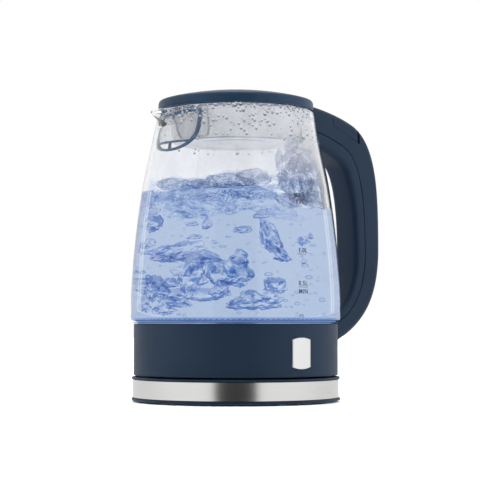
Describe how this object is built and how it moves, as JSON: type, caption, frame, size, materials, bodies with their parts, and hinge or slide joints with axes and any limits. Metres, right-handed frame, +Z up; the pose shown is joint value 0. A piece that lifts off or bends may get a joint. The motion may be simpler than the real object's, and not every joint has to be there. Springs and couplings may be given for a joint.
{
  "type": "electric kettle",
  "caption": "Cordless electric kettle: glass jug with plastic collar, C-shaped handle, hinged lid and spout filter on a round power base.",
  "frame": {"origin": "on the jug's vertical axis, in the plane the feet stand on (1.2 mm under the base's flat underside)", "axes": "+Z up, +X from the jug's axis to the handle, -X to the spout, -Y the side with the level marks and the badge"},
  "size_m": [0.2285, 0.1664, 0.2462],
  "materials": {
    "navy_plastic": "satin moulded, faint grain",
    "navy_inside": "satin",
    "brushed_steel": "brushed round the band",
    "pressed_steel": "pressed sheet, satin",
    "fastener_steel": "zinc plated",
    "clear_glass": "clear borosilicate",
    "silicone": "translucent white",
    "rubber_black": "matte",
    "brass_contact": "plated",
    "aluminium_plate": "cast",
    "black_plastic": "moulded",
    "badge_white": "bright satin",
    "light_guide": "diffusing",
    "circuit_board": "solder mask"
  },
  "bodies": {
    "power_base": {"base_bottom_cover": "navy_plastic", "base_upper_shell": "navy_plastic", "base_steel_band": "brushed_steel", "base_screw_1": "fastener_steel", "base_screw_2": "fastener_steel", "base_screw_3": "fastener_steel", "base_foot_1": "rubber_black", "base_foot_2": "rubber_black", "base_foot_3": "rubber_black", "base_cord_gland": "rubber_black", "base_live_contact": "brass_contact", "base_neutral_contact": "brass_contact", "base_earth_contact": "brass_contact", "base_connector_post": "black_plastic"},
    "coupling_ring": {"earth_ring": "brass_contact"},
    "jug": {"jug_collar": "navy_plastic", "jug_bottom_cover": "navy_plastic", "handle_shell": "navy_plastic", "handle_inner_cover": "navy_plastic", "steam_inlet_plate": "navy_inside", "filter_frame": "navy_inside", "heating_plate": "pressed_steel", "filter_mesh": "pressed_steel", "heating_element": "pressed_steel", "bimetal_disc_1": "pressed_steel", "bimetal_disc_2": "pressed_steel", "cover_screw_1": "fastener_steel", "cover_screw_2": "fastener_steel", "cover_screw_3": "fastener_steel", "lever_pin": "fastener_steel", "handle_screw_1": "fastener_steel", "handle_screw_2": "fastener_steel", "root_screw_1": "fastener_steel", "root_screw_2": "fastener_steel", "hinge_pin": "fastener_steel", "lid_spring": "fastener_steel", "release_spring": "fastener_steel", "glass_jug": "clear_glass", "plate_seal": "silicone", "handle_gasket": "silicone", "steam_tube": "silicone", "element_terminal_1": "brass_contact", "element_terminal_2": "brass_contact", "live_pin": "brass_contact", "neutral_ring": "brass_contact", "heat_spreader": "aluminium_plate", "control_unit": "black_plastic", "badge_plate": "badge_white", "light_ring": "light_guide", "led_1": "light_guide", "led_2": "light_guide", "led_3": "light_guide", "led_board": "circuit_board"},
    "lid": {"lid_cap": "navy_plastic", "lid_base": "navy_inside", "lid_liner": "pressed_steel", "lid_seal": "silicone"},
    "lid_release": {"lid_release": "navy_plastic", "lid_latch": "black_plastic"},
    "switch_lever": {"switch_lever": "navy_plastic"}
  },
  "joints": [
    {"name": "jug_lift", "type": "slide", "parent": "power_base", "child": "coupling_ring", "axis": [0, 0, 1], "range_m": [0, 0.12]},
    {"name": "jug_swivel", "type": "hinge", "parent": "coupling_ring", "child": "jug", "pos_m": [0, 0, 0.03], "axis": [0, 0, 1], "continuous": true},
    {"name": "lid_hinge", "type": "hinge", "parent": "jug", "child": "lid", "pos_m": [0.0695, 0, 0.2355], "axis": [0, 1, 0], "range_deg": [0, 82]},
    {"name": "lid_release", "type": "slide", "parent": "jug", "child": "lid_release", "axis": [0.9088, 0, -0.4172], "range_m": [0, 0.002], "stiffness_N_per_m": 600, "springref_m": -0.001, "deforming": ["release_spring"]},
    {"name": "switch_lever", "type": "hinge", "parent": "jug", "child": "switch_lever", "pos_m": [0.066, 0, 0.0325], "axis": [0, 1, 0], "range_deg": [-12, 0]}
  ]
}
